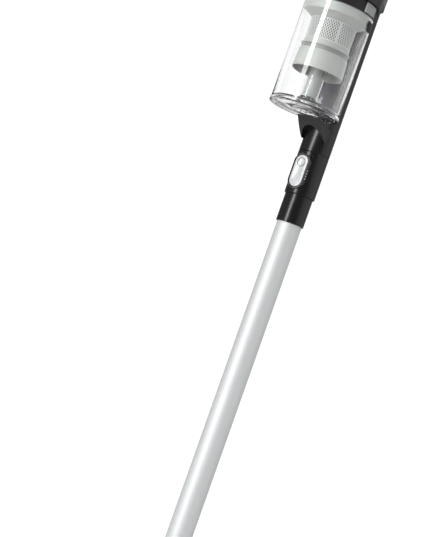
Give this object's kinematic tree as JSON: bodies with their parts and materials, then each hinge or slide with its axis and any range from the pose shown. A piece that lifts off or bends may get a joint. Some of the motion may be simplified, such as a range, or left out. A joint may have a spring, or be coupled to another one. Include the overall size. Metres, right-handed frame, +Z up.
{
  "type": "cordless stick vacuum",
  "caption": "Upright cordless stick vacuum: clear dust bin, metal wand, pivoting floor head with brush roll, looped handle and slide-off battery.",
  "frame": {"origin": "on the floor, where the wand's axis meets it, under the middle of the upright cleaner", "axes": "+Z up along the wand, +Y to the rear (handle side), -Y to the front (bin side), +X to the cleaner's right seen from behind the front"},
  "size_m": [0.2551, 0.218, 1.1054],
  "materials": {
    "black_plastic": "satin moulded",
    "dark_plastic": "fine texture",
    "duct_plastic": "satin moulded",
    "silver_plastic": "painted silver",
    "pale_plastic": "satin moulded",
    "screen": "perforated",
    "clear": "clear polished",
    "anodised": "satin anodised",
    "soft_rubber": "soft matt",
    "wheel_rubber": "soft matt",
    "felt": "short pile",
    "bristle": "soft tufts",
    "roll": "satin moulded",
    "steel": "ground",
    "brass": "polished",
    "motor": "satin",
    "fan_plastic": "satin moulded",
    "foam": "open foam",
    "conduit": "satin"
  },
  "bodies": {
    "floor_head": {"head_base": "dark_plastic", "head_cover": "black_plastic", "front_bumper": "soft_rubber", "sole_felt": "felt", "head_screws": "steel", "brush_motor": "motor", "brush_end_cap": "dark_plastic", "wheel_axles": "steel", "pitch_pins": "steel"},
    "brush": {"brush_roll": "roll", "brush_bristles": "bristle"},
    "wheel_left": {"rear_wheel_left": "wheel_rubber"},
    "wheel_right": {"rear_wheel_right": "wheel_rubber"},
    "neck": {"neck_yoke": "black_plastic"},
    "socket": {"wand_socket": "black_plastic", "swivel_pins": "steel"},
    "wand": {"wand_tube": "anodised", "wand_conduit": "conduit", "lower_collar": "black_plastic", "head_latch_spring": "steel", "wand_collar": "black_plastic", "wand_connector": "black_plastic", "button_bezel": "black_plastic", "release_spring": "steel", "contact_pins": "brass"},
    "head_latch": {"head_latch_button": "silver_plastic"},
    "release": {"release_button": "silver_plastic"},
    "cleaner": {"inlet_socket": "black_plastic", "duct_cover": "black_plastic", "duct_front_wall": "duct_plastic", "motor_housing": "black_plastic", "top_cover": "black_plastic", "fan_motor": "motor", "motor_mount": "soft_rubber", "control_board": "dark_plastic", "handle_left": "black_plastic", "handle_right": "black_plastic", "handle_screws": "steel", "grip_pad": "soft_rubber", "trigger_spring": "steel"},
    "fan": {"impeller": "fan_plastic"},
    "filter": {"filter_cap": "black_plastic", "outlet_filter": "foam"},
    "trigger": {"trigger": "silver_plastic"},
    "mode": {"mode_button": "silver_plastic"},
    "battery": {"battery_case": "black_plastic", "battery_cells": "dark_plastic", "charge_port": "dark_plastic"},
    "battery_catch": {"battery_latch": "fan_plastic"},
    "bin": {"bin_case": "clear", "bin_collar": "dark_plastic", "foam_filter": "foam", "cyclone_flange": "pale_plastic", "mesh_screen": "screen", "shroud_skirt": "pale_plastic", "vortex_tube": "clear", "inner_tube": "pale_plastic"},
    "bin_catch": {"bin_latch": "pale_plastic"},
    "lid": {"bin_lid": "clear", "lid_seal": "soft_rubber"}
  },
  "joints": [
    {"name": "brush_spin", "type": "hinge", "parent": "floor_head", "child": "brush", "pos_m": [0, -0.058, 0.024], "axis": [1, 0, 0], "continuous": true},
    {"name": "wheel_left_spin", "type": "hinge", "parent": "floor_head", "child": "wheel_left", "pos_m": [-0.0555, 0.036, 0.013], "axis": [1, 0, 0], "continuous": true},
    {"name": "wheel_right_spin", "type": "hinge", "parent": "floor_head", "child": "wheel_right", "pos_m": [0.0555, 0.036, 0.013], "axis": [1, 0, 0], "continuous": true},
    {"name": "neck_pitch", "type": "hinge", "parent": "floor_head", "child": "neck", "pos_m": [0, 0, 0.034], "axis": [-1, 0, 0], "range_deg": [0, 75]},
    {"name": "wand_roll", "type": "hinge", "parent": "neck", "child": "socket", "pos_m": [0, 0, 0.084], "axis": [0, 1, 0], "range_deg": [-40, 40]},
    {"name": "wand_pull", "type": "slide", "parent": "socket", "child": "wand", "axis": [0, 0, 1], "range_m": [0, 0.036]},
    {"name": "head_latch_press", "type": "slide", "parent": "wand", "child": "head_latch", "axis": [0, 1, 0], "range_m": [0, 0.002], "stiffness_N_per_m": 800, "deforming": ["head_latch_spring"]},
    {"name": "release_press", "type": "slide", "parent": "wand", "child": "release", "axis": [0, 1, 0], "range_m": [0, 0.002], "stiffness_N_per_m": 800, "deforming": ["release_spring"]},
    {"name": "cleaner_pull", "type": "slide", "parent": "wand", "child": "cleaner", "axis": [0, 0, 1], "range_m": [0, 0.026]},
    {"name": "fan_spin", "type": "hinge", "parent": "cleaner", "child": "fan", "pos_m": [0, -0.0555, 0.93], "axis": [0, 0, 1], "continuous": true},
    {"name": "filter_twist", "type": "hinge", "parent": "cleaner", "child": "filter", "pos_m": [0, -0.0555, 1.098], "axis": [0, 0, 1], "range_deg": [0, 30]},
    {"name": "trigger_pull", "type": "slide", "parent": "cleaner", "child": "trigger", "axis": [0, 1, 0], "range_m": [0, 0.005], "stiffness_N_per_m": 600, "deforming": ["trigger_spring"]},
    {"name": "mode_press", "type": "slide", "parent": "cleaner", "child": "mode", "axis": [0, 0, -1], "range_m": [0, 0.0015], "stiffness_N_per_m": 600},
    {"name": "battery_pull", "type": "slide", "parent": "cleaner", "child": "battery", "axis": [0, 1, 0], "range_m": [0, 0.09]},
    {"name": "battery_latch_press", "type": "slide", "parent": "battery", "child": "battery_catch", "axis": [0, -1, 0], "range_m": [0, 0.0015], "stiffness_N_per_m": 600},
    {"name": "bin_pull", "type": "slide", "parent": "cleaner", "child": "bin", "axis": [0, -1, 0], "range_m": [0, 0.06]},
    {"name": "bin_latch_slide", "type": "slide", "parent": "bin", "child": "bin_catch", "axis": [0, 0, -1], "range_m": [0, 0.003], "stiffness_N_per_m": 400},
    {"name": "lid_twist", "type": "hinge", "parent": "bin", "child": "lid", "pos_m": [0, -0.0555, 0.75], "axis": [0, 0, 1], "range_deg": [0, 20]}
  ]
}
